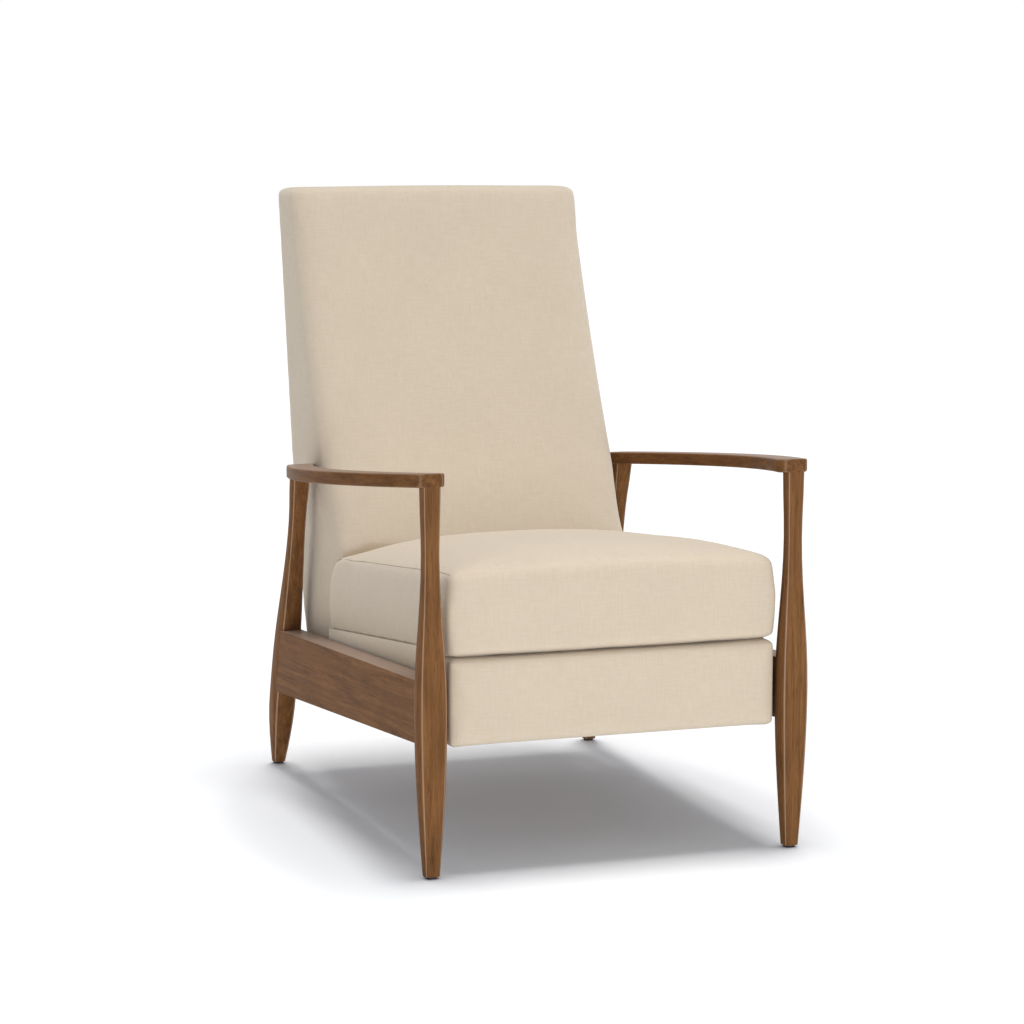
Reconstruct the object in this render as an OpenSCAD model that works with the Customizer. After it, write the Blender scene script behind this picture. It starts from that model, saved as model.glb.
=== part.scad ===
// Push-back recliner: a bowed-arm hardwood frame carries an upholstered seat,
// back and footrest on two flat steel linkages. The chair faces -Y and stands
// on Z = 0. Depths are counted from the front leg centres, and every piece is
// then moved so that the origin lies under the middle of the whole chair.
// Left is the sitter's left, +X.

/* [Wooden frame] */
// Distance from the side of the seat cushion to the leg centre
leg_clear = 25; // [24:0.5:40]
// Front leg centre to the centre of the rear foot
leg_base = 883; // [870:1:920]
// Height of the arm's top face above the front leg
arm_height = 621; // [600:1:650]
// Fall of the arm towards the back, in degrees
arm_fall = 4.9; // [3:0.1:6.5]
// How far the middle of the arm bows outwards
arm_bow = 55; // [20:1:70]
// Width of the arm
arm_width = 47; // [42:1:56]
// Thickness of the arm
arm_thick = 20.7; // [16:0.1:28]
// Depth at which the arm's rounded nose ends
arm_front = 8; // [6:1:12]
// Depth of the arm's rear end
arm_rear = 740; // [736:1:770]
// Width of the front leg at its belly
leg_width = 47; // [40:1:50]
// Depth of the front leg at its belly
leg_depth = 43; // [38:1:50]
// Width of the front leg at its foot
leg_foot = 24; // [20:1:30]
// Width of the front leg at its waist
leg_waist = 26; // [22:1:32]
// Width of the front leg under the arm
leg_top = 30; // [24:1:32]
// Height of the front leg's belly
belly_height = 260; // [200:1:320]
// Height of the front leg's waist
waist_height = 500; // [440:1:540]
// Forward lean of the rear leg from foot to arm
rear_rake = 161; // [140:1:180]
// Sweep of the rear leg either side of straight
rear_sweep = 5; // [0:1:10]
// Width of the rear leg at the rail
rear_width = 40; // [36:1:44]
// Depth of the rear leg at the rail
rear_depth = 55; // [46:1:64]
// Width of the rear leg at its waist
rear_waist = 23; // [20:1:28]
// Width and depth of the rear foot
rear_foot = 21; // [20:1:28]
// Thickness of the side rail
rail_thick = 38; // [30:1:38]
// Height of the rail's top edge at the front leg
rail_top = 306; // [296:1:314]
// Depth of the rail's face at the front leg
rail_face = 97; // [85:1:110]
// Fall of the rail's top edge towards the back, in degrees
rail_fall = 3.5; // [2.5:0.1:4.5]
// Fall of the rail's lower edge towards the back, in degrees
rail_under_fall = 4.6; // [3.5:0.1:5.2]
// Radius of the glide under each foot
glide_radius = 9; // [6:0.5:10]
// Thickness of each glide
glide_thick = 4; // [3:0.5:6]
// Thickness of the stretchers between the side rails
stretcher_thick = 24; // [20:1:28]
// Height of each stretcher
stretcher_height = 34; // [28:1:36]

/* [Upholstery] */
// Width of the back, which the seat and the wooden frame follow
back_width = 530; // [500:1:560]
// How far the seat cushion stands out beyond each side of the back
cushion_over = 10; // [8:0.5:12]
// Height of the cushion's side seam at the front
seat_height = 467; // [440:1:490]
// Fall of the cushion's side seam, in degrees
seat_fall = 5.6; // [4.5:0.1:6.5]
// Height of the deck under the front of the cushion
deck_height = 343; // [341:1:348]
// Fall of the deck towards the back, in degrees
deck_fall = 5.9; // [5.4:0.1:6.4]
// Rise of the cushion's crown over its seam
seat_crown = 34; // [0:1:45]
// Depth of the cushion's rear face
cushion_rear = 640; // [634:1:645]
// Radius of the cushion's rear top edge
rear_round = 70; // [50:1:75]
// Height of the back
back_height = 1032; // [980:1:1080]
// Thickness of the back at its top
back_top_thick = 105; // [96:1:125]
// Lean of the back's front face where it leaves the cushion, in degrees
front_lean = 30; // [27:0.5:32]
// Lean of the back's rear face, in degrees
rear_lean = 9.4; // [7:0.1:12]
// Depth of the back where its rear face starts to rise straight
back_deep = 225; // [215:1:232]
// Rounding of the back's edges
back_round = 18; // [8:1:24]
// Height of the back's lower edge
back_low = 257; // [255:1:262]
// Depth of the foam on the back's frame
foam_depth = 60; // [40:1:62]
// How far each end of the footrest pad stays inside the cushion's side
pad_inset = 2.5; // [2:0.5:6]
// Height of the footrest pad
pad_height = 133; // [125:1:134]
// Height of the pad's lower edge when closed
pad_low = 203; // [198:1:205]
// Thickness of the footrest pad
pad_thick = 26; // [20:1:28]
// Thickness of the footrest board
board_thick = 18; // [14:1:18]
// Thickness of the seat box side boards
box_thick = 16; // [12:1:18]

/* [Linkage] */
// Thickness of every steel link and plate
steel = 4; // [3:0.5:4]
// Gap between neighbouring layers of links
layer_gap = 2; // [1.9:0.1:2.4]
// Radius of a link's rounded ends
hub = 10; // [9:0.5:10.5]
// Radius of every pivot pin
pin = 4; // [3:0.1:4.4]
// Running clearance round a pin
run_gap = 0.05; // [0.02:0.01:0.09]
// Depth of the lift arm's seat pivot
lift_depth = 176; // [172:1:180]
// Length of the lift arm from its seat pivot to the thrust arm
lift_length = 180; // [176:1:182]
// Angle of the closed lift arm below straight back, in degrees
lift_angle = 45; // [44:0.5:46]
// Length of the crank beyond the thrust arm's pivot
crank_length = 26.5; // [26:0.5:28]
// Spacing of the lift arm and the guide arm
lift_spacing = 58; // [56:1:62]
// Depth of the front swing link's upper pivot
swing_front = 368; // [364:1:374]
// Depth of the rear swing link's upper pivot
swing_rear = 598; // [594:1:600]
// Length of the swing links that carry the seat
swing_length = 100; // [98:1:102]
// Angle of the closed swing links above straight back, in degrees
swing_angle = 72; // [71:0.5:73]
// Distance of the hinge between seat and back behind the cushion
hinge_behind = 55; // [52:1:60]

/* [Hidden] */
$fn = 40;

walnut = [0.45, 0.29, 0.18];
beech = [0.78, 0.66, 0.48];
linen = [0.86, 0.80, 0.71];
black_steel = [0.14, 0.13, 0.13];
zinc = [0.62, 0.63, 0.64];
black_web = [0.10, 0.10, 0.10];

// Clearances: beside soft pieces, in press fits and between pivot parts
soft_gap = 0.3;
fit_gap = 0.02;
face_gap = 0.15;

// Half widths, from the back outwards
panel_thick = 4;
back_outer = back_width / 2;
side_outer = back_outer + cushion_over;
leg_x = side_outer + leg_clear;

// Frame
rail_inner = leg_x - rail_thick / 2;
arris = 0.31;
slim = 2;
rear_belly = 130;
rear_shoulder = 185;
rear_waist_height = 475;
arm_edge = 3;
arm_corner = 14;
arm_tail = arm_rear - 22;
dowel = 4;
dowel_long = 44;
arm_dowel_up = 14;
stretcher_front = 412;
stretcher_rear = 624;
stretcher_lift = 4;
rear_top = arm_under(leg_base - rear_rake);

// Fasteners
bolt = 3;
head_thick = 1.5;
head_lip = 3;
collar_wall = 2.5;
screw_long = 14;

// Upholstery
cushion_front = 3;
front_round = 12;
cushion_draw = 3;
side_swell = 5;
deck_pad = 2.9;
web_thick = 2.5;
web_width = 50;
pad_front = 5;
pad_round = 8;
bend_height = 372;
tuck = 43;
lip_gap = 2;
cover = 6;
frame_zone = 24;
rear_edge = 8;
pad_outer = side_outer - pad_inset;
pad_core = pad_outer - panel_thick - soft_gap;
board_outer = side_outer - panel_thick - soft_gap;
board_inner = board_outer - box_thick;
rear_face = cushion_rear + back_deep;
hinge_depth = cushion_rear + hinge_behind;
box_front = 52;
box_rear = cushion_rear - 6;
box_deep_front = 92;
box_deep_rear = 58;
round_y = cushion_rear - rear_round;
round_z = shoulder(round_y) - rear_round;
lip_z = round_z + rear_round;
lip_y = round_y + sqrt(pow(rear_round + lip_gap, 2) - pow(rear_round, 2));
front_span = back_height - lip_z;
front_bend = (tan(front_lean) * front_span - (rear_at(back_height) - back_top_thick - lip_y))
  / pow(front_span, 2);
mid_depth = (rear_at(back_height - back_round) - leg_depth / 2) / 2;
cap_deep = 46;
cap_height = back_height - cap_deep;
notch_top = deck(cushion_rear) + 36;
notch_rear = hinge_depth + 18;
notch_inner = layer(5) - layer_gap;
stile_inner = layer(1) + steel;
stile_outer = back_outer - panel_thick;
board_front = pad_front + pad_thick + soft_gap;
board_back = board_front + board_thick;

// Thrust arm's pivot on the footrest: behind the pad's face and below its top
thrust_behind = 61;
thrust_below = 32;
// Back link's pivots: how far in front of the hinge, and above or below it
link_reach = 28.4;
link_rise = 16.4;
base_reach = 71.2;
base_drop = 45.6;

// Pivots as [depth, height] in the closed chair
lift_seat = [lift_depth, deck(lift_depth) - hub - 4];
spread = [lift_spacing, -8];
guide_seat = lift_seat + spread;
lift_thrust = lift_seat + polar(lift_length, -lift_angle);
guide_thrust = lift_thrust + spread;
crank_end = lift_thrust + polar(crank_length, -38);
board_thrust = [pad_front + thrust_behind, pad_low + pad_height - thrust_below];
board_drive = board_thrust + polar(30, -39);
swing_front_top = [swing_front, deck(swing_front) - hub - 5];
swing_rear_top = [swing_rear, deck(swing_rear) - hub - 9];
swing_front_base = swing_front_top - polar(swing_length, swing_angle);
swing_rear_base = swing_rear_top - polar(swing_length, swing_angle);
back_hinge = [hinge_depth, deck(cushion_rear) - hub + 3];
link_back = back_hinge - [link_reach, -link_rise];
link_base = back_hinge - [base_reach, base_drop];
// Play in the one open pivot of each linkage
drive_play = 1.2;
link_play = 2.2;
seat_bolts = [(lift_seat + guide_seat) / 2, (guide_seat + swing_front_top) / 2,
  (swing_front_top + swing_rear_top) / 2];
spine_half = 11;
spine_low = stretcher_high(stretcher_front);
spine_front = [stretcher_front - 8, spine_low + spine_half];
spine_rear = [bolt_depth(stretcher_rear), spine_low + spine_half];
bracket_reach = 52;
bracket_rise = 32;
bolt_pitch = 50;
bracket_bolts = [for (i = [0, 1]) back_hinge + [bracket_reach + i * bolt_pitch / 5, bracket_rise + i * bolt_pitch]];

function polar(r, a) = r * [cos(a), sin(a)];
function rise(a, b, t) = a + (b - a) * sin(90 * min(1, max(0, t)));
function ease(a, b, t) = a + (b - a) * (1 - cos(180 * min(1, max(0, t)))) / 2;
function layer(k) = board_inner - steel - k * (steel + layer_gap);
function arm_top(y) = arm_height - tan(arm_fall) * y;
function arm_under(y) = arm_top(y) - arm_thick;
function deck(y) = deck_height - tan(deck_fall) * y;
function box_top(y) = deck(y) - deck_pad;
function rail_upper(y) = rail_top - tan(rail_fall) * y;
function rail_lower(y) = rail_top - rail_face - tan(rail_under_fall) * y;
function stretcher_low(y) = rail_lower(y) + stretcher_lift;
function stretcher_high(y) = stretcher_low(y) + stretcher_height;
function bolt_depth(y) = y + stretcher_thick * 2 / 3;
function shoulder(y) = seat_height - tan(seat_fall) * (y - 22);

// Depth of the back's rear and front faces by height
function rear_at(z) = z > bend_height ? rear_face + tan(rear_lean) * (z - bend_height)
  : rear_face - tuck * pow(1 - (z - back_low) / (bend_height - back_low), 2);
function front_at(z) = z <= round_z ? cushion_rear + lip_gap
  : z <= lip_z ? round_y + sqrt(pow(rear_round + lip_gap, 2) - pow(z - round_z, 2))
  : lip_y + tan(front_lean) * (z - lip_z) - front_bend * pow(z - lip_z, 2);

// Points round a w by d rectangle with corner radius r, counter-clockwise
function ring_points(w, d, r, m = 3) = [for (k = [0:3]) for (j = [0:m])
  let (a = 90 * k + 90 * j / m, sx = (k == 0 || k == 3) ? 1 : -1, sy = k < 2 ? 1 : -1)
  [sx * (w / 2 - r) + r * cos(a), sy * (d / 2 - r) + r * sin(a)]];

// Solid skinned over rings that run counter-clockwise as seen from the last one
module loft(rings) {
  n = len(rings[0]);
  last = (len(rings) - 1) * n;
  points = [for (ring = rings) each ring];
  sides = [for (i = [0:len(rings) - 2]) for (j = [0:n - 1])
    let (a = i * n + j, b = i * n + (j + 1) % n) each [[a, b + n, b], [a, a + n, b + n]]];
  caps = [[for (j = [0:n - 1]) j], [for (j = [n - 1:-1:0]) last + j]];
  polyhedron(points, concat(sides, caps), convexity = 6);
}
// The same for rings listed from front to back
module loft_back(rings) loft([for (i = [len(rings) - 1:-1:0]) rings[i]]);

module placed() translate([0, -mid_depth, 0]) children();
module on_side(s) if (s > 0) placed() children(); else placed() mirror([1, 0, 0]) children();
module both() for (s = [1, -1]) on_side(s) children();

// Flat piece of thickness t whose outline is drawn as [depth, height]. A bar
// has round eyes of radius r and is a little narrower between them.
waist = 0.86;
module plate(x, t) translate([x, 0, 0]) rotate([90, 0, 90]) linear_extrude(t) children();
module bar2d(a, b, r) {
  v = b - a;
  translate(a) circle(r);
  translate(b) circle(r);
  translate(a) rotate(atan2(v[1], v[0])) translate([0, -r * waist]) square([norm(v), 2 * r * waist]);
}
module chain2d(points, r) for (i = [0:len(points) - 2]) bar2d(points[i], points[i + 1], r);
module holes2d(points, r) for (p = points) translate(p) circle(r);
module along_x(p, x, h, r) translate([x, p[0], p[1]]) rotate([0, 90, 0]) cylinder(r = r, h = h);

// Pivot pin from x = a to b with a collar between from and to, and heads at its ends
module pivot(p, a, b, from, to, head_a = true, head_b = false) {
  low = a - (head_a ? face_gap + head_thick : 0);
  high = b + (head_b ? face_gap + head_thick : 0);
  along_x(p, low, high - low, pin);
  along_x(p, from + face_gap, to - from - 2 * face_gap, pin + collar_wall);
  if (head_a) along_x(p, low, head_thick, pin + head_lip);
  if (head_b) along_x(p, high - head_thick, head_thick, pin + head_lip);
}
// Pin fixed in the plate of layer k that carries the link of layer k - 1
module stud(p, k) pivot(p, layer(k), layer(k - 1) + steel, layer(k) + steel, layer(k - 1), false, true);

// Bolt along X: its head lies against x and its shank runs outwards
module bolt_x(p, x, long) {
  along_x(p, x - head_thick, head_thick, bolt + head_lip - 1);
  along_x(p, x - head_thick, long + head_thick, bolt);
}

// Wooden frame
function leg_size(z, foot, belly, waist, head) = z < belly_height
  ? rise(foot, belly, z / belly_height)
  : z < waist_height ? ease(belly, waist, (z - belly_height) / (waist_height - belly_height))
  : ease(waist, head, (z - waist_height) / (arm_under(0) - waist_height));
function leg_ring(z, top = false) =
  let (w = leg_size(z, leg_foot, leg_width, leg_waist, leg_top),
       d = leg_size(z, leg_foot - slim, leg_depth, leg_waist - slim, leg_top - slim))
  [for (p = ring_points(w, d, arris * min(w, d))) [leg_x + p[0], p[1], top ? arm_under(p[1]) : z]];
module front_leg_shape() {
  low = [for (i = [0:9]) glide_thick + (belly_height - glide_thick) * i / 10];
  high = [for (i = [0:10]) belly_height + (arm_under(0) - slim - belly_height) * i / 10];
  loft(concat([for (z = concat(low, high)) leg_ring(z)], [leg_ring(arm_under(0), true)]));
}
function rear_y(z) = leg_base - rear_rake * z / rear_top + rear_sweep * sin(360 * z / rear_top);
function rear_size(z, foot, belly, waist) = z < rear_belly ? rise(foot, belly, z / rear_belly)
  : z < rear_shoulder ? belly
  : ease(belly, waist, (z - rear_shoulder) / (rear_waist_height - rear_shoulder));
function rear_ring(z, top = false) =
  let (w = rear_size(z, rear_foot, rear_width, rear_waist),
       d = rear_size(z, rear_foot, rear_depth, rear_waist + slim), y = rear_y(z))
  [for (p = ring_points(w, d, arris * min(w, d)))
    [leg_x + p[0], y + p[1], top ? arm_under(y + p[1]) : z]];
function rear_front(z) = rear_y(z) - rear_size(z, rear_foot, rear_depth, rear_waist + slim) / 2;
module rear_leg_shape() {
  heights = [for (i = [0:20]) glide_thick + (rear_top - slim - glide_thick) * i / 20];
  loft(concat([for (z = heights) rear_ring(z)], [rear_ring(rear_top, true)]));
}

// Dowels of one side: rail to legs, stretchers to rail, legs to arm
module side_dowels(gap = 0) {
  r = dowel + gap;
  long = dowel_long + 2 * gap;
  for (f = [0.25, 0.75]) {
    zf = rail_upper(0) - rail_face * f;
    zr = rail_upper(leg_base - rear_rake) - rail_face * f;
    translate([leg_x, leg_depth / 2 - long / 2, zf]) rotate([-90, 0, 0]) cylinder(r = r, h = long);
    translate([leg_x, rear_front(zr) - long / 2, zr]) rotate([-90, 0, 0]) cylinder(r = r, h = long);
  }
  for (y = [0, rear_y(rear_top)])
    translate([leg_x, y, arm_under(y) + arm_dowel_up + gap - long]) cylinder(r = r, h = long);
  for (y = [stretcher_front, stretcher_rear])
    along_x([y + stretcher_thick / 2, stretcher_low(y) + stretcher_height / 2],
      rail_inner - long / 2, long, r);
}
module joint_dowels() color(beech) both() side_dowels();

module front_leg(s) color(walnut) on_side(s) difference() {
  front_leg_shape();
  side_dowels(fit_gap);
}
module rear_leg(s) color(walnut) on_side(s) difference() {
  rear_leg_shape();
  side_dowels(fit_gap);
}

// The rail's ends are coped to the rounded legs
module side_rail(s) color(walnut) on_side(s) difference() {
  cope_front = leg_depth * (0.5 - arris);
  cope_rear = rear_width * arris;
  zu = rail_upper(leg_base - rear_rake);
  zl = rail_lower(leg_base - rear_rake / 3);
  yu = rear_front(zu) + cope_rear;
  yl = rear_front(zl) + cope_rear;
  plate(rail_inner, rail_thick) polygon([[cope_front, rail_upper(cope_front)],
    [cope_front, rail_lower(cope_front)], [yl, rail_lower(yl)], [yu, rail_upper(yu)]]);
  front_leg_shape();
  rear_leg_shape();
  side_dowels(fit_gap);
}

// Arm: a flat bar bowed outwards, round at the nose, its edges eased
function arm_slope(y) = 4 * arm_bow * (1 - 2 * (y - arm_front) / (arm_tail - arm_front))
  / (arm_tail - arm_front);
function arm_mid(y) = let (u = max(0, (y - arm_front) / (arm_tail - arm_front)))
  leg_x + 4 * arm_bow * u * (1 - u);
function arm_half(y) = arm_width / 2 * sqrt(1 + pow(arm_slope(max(arm_front, y)), 2));
function arm_ring(y, half, shift = 0) =
  [for (p = ring_points(2 * half, arm_thick, min(arm_edge, half * 0.6)))
    [arm_mid(y) + shift + p[0], y, arm_top(y) - arm_thick / 2 + p[1]]];
module arm_shape() {
  nose_half = arm_half(arm_front);
  nose = [for (a = [6:12:78]) arm_ring(arm_front - arm_width / 2 * cos(a), nose_half * sin(a))];
  bar_end = arm_rear - arm_corner;
  bar = [for (i = [0:13]) let (y = arm_front + (bar_end - arm_front) * i / 13) arm_ring(y, arm_half(y))];
  tail = [for (a = [25:25:75]) let (y = bar_end + arm_corner * sin(a), cut = arm_corner * (1 - cos(a)))
    arm_ring(y, arm_half(y) - cut / 2, -cut / 2)];
  end = [arm_ring(arm_rear, arm_half(arm_rear) - arm_corner / 2, -arm_corner / 2)];
  loft_back(concat(nose, bar, tail, end));
}
module arm(s) color(walnut) on_side(s) difference() {
  arm_shape();
  side_dowels(fit_gap);
}

module stretcher(y) color(beech) difference() {
  placed() translate([-rail_inner, y, stretcher_low(y)])
    cube([2 * rail_inner, stretcher_thick, stretcher_height]);
  both() side_dowels(fit_gap);
}
module leg_glides() color(black_web) both() for (y = [0, leg_base])
  translate([leg_x, y, 0]) cylinder(h = glide_thick, r = glide_radius);

// Base plate: a spine over the stretchers with a foot for each swing link
module base_plate(s) color(black_steel) on_side(s) difference() {
  plate(layer(5), steel) difference() {
    union() {
      chain2d([swing_front_base, spine_front, spine_rear], spine_half);
      bar2d([swing_rear_base[0], spine_rear[1]], swing_rear_base, spine_half);
      translate(link_base) circle(spine_half);
    }
    holes2d([swing_front_base, swing_rear_base, link_base], pin + fit_gap);
    holes2d(spine_bolts(), bolt + fit_gap);
  }
}
function spine_bolts() = [for (y = [stretcher_front, stretcher_rear])
  [bolt_depth(y), spine_low + spine_half]];
module stretcher_bracket(y) difference() {
  union() {
    translate([layer(5) - steel, y, stretcher_high(y)])
      cube([steel, stretcher_thick, spine_low + 2 * spine_half - stretcher_high(y)]);
    translate([layer(5) - 36, y, stretcher_high(y)]) cube([36 - steel / 2, stretcher_thick, steel]);
  }
  bracket_screw(y, fit_gap);
  along_x([bolt_depth(y), spine_low + spine_half], layer(5) - 2 * steel, 3 * steel, bolt + fit_gap);
}
module bracket_screw(y, gap) translate([layer(5) - 20, y + stretcher_thick / 2, stretcher_high(y)]) {
  translate([0, 0, -screw_long - gap]) cylinder(r = bolt + gap, h = screw_long + steel + 2 * gap);
  if (gap == 0) translate([0, 0, steel]) cylinder(r = bolt + head_lip - 1, h = head_thick);
}
module stretcher_brackets() color(black_steel) both()
  for (y = [stretcher_front, stretcher_rear]) stretcher_bracket(y);
module frame_screws() color(zinc) both() {
  for (y = [stretcher_front, stretcher_rear]) bracket_screw(y, 0);
  for (p = spine_bolts()) bolt_x(p, layer(5) - steel, 2 * steel);
}
module stretcher_bored(y) color(beech) difference() {
  stretcher(y);
  both() bracket_screw(y, fit_gap);
}
module base_pivots() color(zinc) both() for (p = [swing_front_base, swing_rear_base, link_base]) stud(p, 5);

// Links
module link(s, k, a, b, ra, rb) color(black_steel) on_side(s) plate(layer(k), steel) difference() {
  bar2d(a, b, hub);
  translate(a) circle(ra);
  translate(b) circle(rb);
}
module front_swing(s) link(s, 4, swing_front_base, swing_front_top, pin + run_gap, pin + run_gap);
module rear_swing(s) link(s, 4, swing_rear_base, swing_rear_top, pin + run_gap, pin + run_gap);
module back_link(s) link(s, 4, link_base, link_back, pin + run_gap, pin + link_play);

// Seat plate: one long strip under the deck that reaches back to the hinge
seat_knee = [box_rear, swing_rear_top[1]];
module seat_plate(s) color(black_steel) on_side(s) plate(layer(0), steel) difference() {
  chain2d([lift_seat, guide_seat, swing_front_top, swing_rear_top, seat_knee, back_hinge], hub);
  holes2d([lift_seat, guide_seat, swing_front_top, swing_rear_top, back_hinge], pin + fit_gap);
  holes2d(seat_bolts, bolt + fit_gap);
}
module seat_pivots() color(zinc) both() {
  for (p = [lift_seat, guide_seat]) pivot(p, layer(2), board_inner, layer(2) + steel, layer(0));
  for (p = [swing_front_top, swing_rear_top]) pivot(p, layer(4), board_inner, layer(4) + steel, layer(0));
  pivot(back_hinge, layer(1), board_inner, layer(1) + steel, layer(0), true, true);
}
module seat_screws() color(zinc) both() for (p = seat_bolts) bolt_x(p, layer(0), steel + box_thick / 2);

// Seat box
function box_outline(d) = [[box_front, box_top(box_front)], [box_front, box_top(box_front) - d[0]],
  [box_rear, box_top(box_rear) - d[1]], [box_rear, box_top(box_rear)]];
module seat_side(s) color(beech) on_side(s) difference() {
  plate(board_inner, box_thick) polygon(box_outline([box_deep_front, box_deep_rear]));
  for (p = seat_bolts) along_x(p, board_inner - steel, steel + box_thick / 2 + fit_gap, bolt + fit_gap);
}
rail_y = 528;
rail_board = 18;
rear_rail_deep = 38;
wing_depth = 14;
wing_start = layer(5) - 14;
module cross_board(y, x, deep) plate(-x, 2 * x) polygon([[y, box_top(y)], [y, box_top(y) - deep],
  [y + rail_board, box_top(y) - deep], [y + rail_board, box_top(y + rail_board)]]);
module seat_front_rail() color(beech) placed() {
  cross_board(box_front, wing_start, box_deep_front);
  cross_board(box_front, board_inner, wing_depth);
}
module seat_rear_rail() color(beech) placed() cross_board(rail_y, layer(0), rear_rail_deep);
web_edge = 14;
webs = 7;
function spread_at(from, to, i, n) = from + (to - web_width - from) * i / (n - 1);
module seat_webbing() color(black_web) placed() for (i = [0:webs - 1]) {
  y = spread_at(box_front + web_edge, box_rear - web_edge, i, webs);
  plate(-board_outer, 2 * board_outer) polygon([[y, box_top(y)], [y + web_width, box_top(y + web_width)],
    [y + web_width, box_top(y + web_width) + web_thick], [y, box_top(y) + web_thick]]);
}
// Fabric-covered panels on the outside of the seat box
module seat_side_panels() color(linen) both() plate(board_outer + soft_gap, panel_thick)
  polygon([[box_front, deck(box_front) - soft_gap], [box_front, box_top(box_front) - box_deep_front],
    [box_rear, box_top(box_rear) - box_deep_rear], [box_rear, deck(box_rear) - soft_gap]]);

// Seat cushion: boxed sides drawn in at both seams and a crowned top
crown_front = 8;
crown_reach = 170;
crown_fade = 130;
crown_end = lip_y - 3;
side_steps = 4;
crown_steps = 14;
function seat_seam(y) = y <= round_y ? shoulder(y)
  : round_z + sqrt(max(0, pow(rear_round, 2) - pow(y - round_y, 2)));
function crown_at(y) = y <= crown_reach ? rise(crown_front, seat_crown, (y - cushion_front) / crown_reach)
  : seat_crown * cos(90 * min(1, max(0, 1 - (crown_end - y) / crown_fade)));
function cushion_ring(y, inset) =
  let (low = deck(y) + inset, high = seat_seam(y) - inset, half = side_outer - cushion_draw - inset,
       crown = crown_at(y),
       wall = [for (i = [0:side_steps]) let (t = i / side_steps)
         [half + side_swell * sin(180 * t), low + (high - low) * t]],
       top = [for (i = [1:crown_steps - 1]) let (x = half * cos(180 * i / crown_steps))
         [x, high + crown * pow(1 - pow(abs(x) / half, 2.6), 0.75)]])
  [for (p = concat(wall, top, [for (i = [side_steps:-1:0]) [-wall[i][0], wall[i][1]]])) [p[0], y, p[1]]];
module seat_cushion() color(linen) placed() {
  front = [for (a = [0:30:90]) cushion_ring(cushion_front + front_round * (1 - cos(a)), front_round * (1 - sin(a)))];
  start = cushion_front + front_round;
  top = [for (i = [1:12]) cushion_ring(start + (round_y - start) * i / 12, 0)];
  rear = [for (a = [15:15:75]) cushion_ring(round_y + rear_round * sin(a), 0)];
  loft_back(concat(front, top, rear, [cushion_ring(cushion_rear, 0)]));
}

foam_step = 50;
// Back: foam on a plywood frame, closed by a fabric cover at its rear and sides
function heights(from, to, n) = [for (i = [0:n]) from + (to - from) * i / n];
function foam_rear(z) = rear_at(z) - cover - frame_zone;
function foam_seam(z) = max(front_at(z) + foam_depth, notch_rear);
function foam_ring(z) = let (yf = front_at(z), r = back_round, ym = foam_seam(z))
  [for (p = concat([[back_outer, ym], [-back_outer, ym]],
    [for (a = [180:22.5:270]) [-back_outer + r + r * cos(a), yf + r + r * sin(a)]],
    [for (a = [270:22.5:360]) [back_outer - r + r * cos(a), yf + r + r * sin(a)]])) [p[0], p[1], z]];
function core_ring(z) = let (x = stile_inner - soft_gap, yf = foam_seam(z) - 1, yr = foam_rear(z))
  [[x, yf, z], [x, yr, z], [-x, yr, z], [-x, yf, z]];
function cap_ring(z, inset) = let (yf = front_at(z) + inset, yr = rear_at(z) - inset,
    r = back_round)
  [for (p = ring_points(back_width - 2 * inset, yr - yf, r - inset / 2)) [p[0], (yf + yr) / 2 + p[1], z]];
function foam_heights() = concat(heights(back_low, round_z, 2), heights(round_z + 12, lip_z, 5),
  heights(lip_z + foam_step, cap_height + 1, 10));
module back_cushion() color(linen) placed() difference() {
  union() {
    for (z = [foam_heights()]) {
      loft([for (h = z) foam_ring(h)]);
      loft([for (h = z) core_ring(h)]);
    }
    loft(concat([for (z = [cap_height, back_height - back_round]) cap_ring(z, 0)],
      [for (a = [22.5:22.5:90]) cap_ring(back_height - back_round * (1 - sin(a)), back_round * (1 - cos(a)))]));
  }
  for (s = [1, -1]) translate([s > 0 ? notch_inner : -back_width, cushion_rear, back_low - 1])
    cube([back_width - notch_inner, notch_rear - cushion_rear, notch_top - back_low + 1]);
  for (s = [1, -1]) scale_side(s) plate(layer(1) - layer_gap, steel + layer_gap + soft_gap)
    bracket_outline(hub + layer_gap);
}
module scale_side(s) if (s > 0) children(); else mirror([1, 0, 0]) children();

// The foam's seam and rear face between its rings
function seam_line(z) = lookup(z, [for (h = foam_heights()) [h, foam_seam(h)]]);
function core_line(z) = lookup(z, [for (h = foam_heights()) [h, foam_rear(h)]]);
module stile_outline() {
  span = concat([notch_top], [for (h = foam_heights()) if (h > notch_top && h < cap_height - 1) h], [cap_height - 1]);
  low = [notch_rear + soft_gap, back_low + soft_gap];
  front = [for (z = span) [seam_line(z) + soft_gap, z]];
  rear = [for (z = concat(heights(cap_height - 1, bend_height, 8), heights(bend_height - 23, back_low + soft_gap, 4)))
    [rear_at(z) - cover - soft_gap, z]];
  polygon(concat([low], front, rear));
}
module back_stile(s) color(beech) on_side(s) difference() {
  plate(stile_inner, stile_outer - soft_gap - stile_inner) stile_outline();
  for (p = bracket_bolts) along_x(p, layer(1), steel + 9 + fit_gap, bolt + fit_gap);
}
rail_deep = 60;
module back_rail(z) plate(-stile_inner, 2 * stile_inner) polygon([
  [rear_at(z) - cover - soft_gap, z], [rear_at(z + rail_deep) - cover - soft_gap, z + rail_deep],
  [core_line(z + rail_deep) + soft_gap, z + rail_deep], [core_line(z) + soft_gap, z]]);
module back_top_rail() color(beech) placed() back_rail(cap_height - rail_deep - 1);
module back_bottom_rail() color(beech) placed() back_rail(bend_height);
back_webs = 5;
back_web_edge = 40;
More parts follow.
